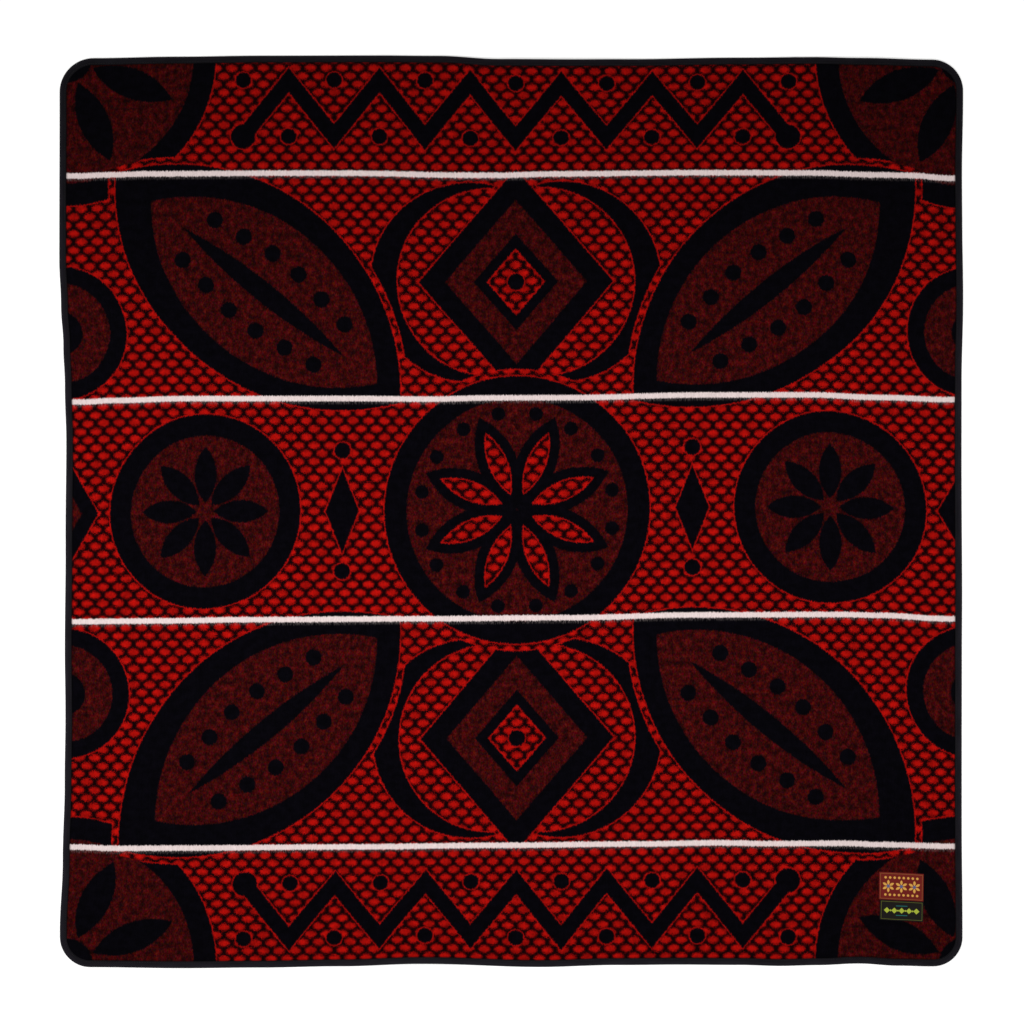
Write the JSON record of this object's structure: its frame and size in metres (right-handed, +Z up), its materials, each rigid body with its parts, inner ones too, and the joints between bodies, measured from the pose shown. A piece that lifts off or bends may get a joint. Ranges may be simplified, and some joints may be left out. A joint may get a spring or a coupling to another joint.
{
  "type": "basotho blanket",
  "caption": "Square wool blanket laid out flat, edge bound with folded tape, woven stripes across it and sewn labels near one corner.",
  "frame": {"origin": "on the floor plane, under the middle of the blanket's outline", "axes": "+Z up out of the face that carries the labels, +X along the woven stripes towards the labels' side, +Y across the stripes, away from the labels' edge"},
  "size_m": [1.5912, 1.6068, 0.0098],
  "materials": {
    "cloth": "brushed wool, black and red with off-white stripes",
    "binding": "plain woven black tape, dull",
    "label_upper": "red-brown woven label, slight satin",
    "label_lower": "black woven label with a thin green border"
  },
  "bodies": {
    "root": {"cloth": "cloth", "binding": "binding", "label_upper": "label_upper", "label_lower": "label_lower"}
  },
  "joints": []
}
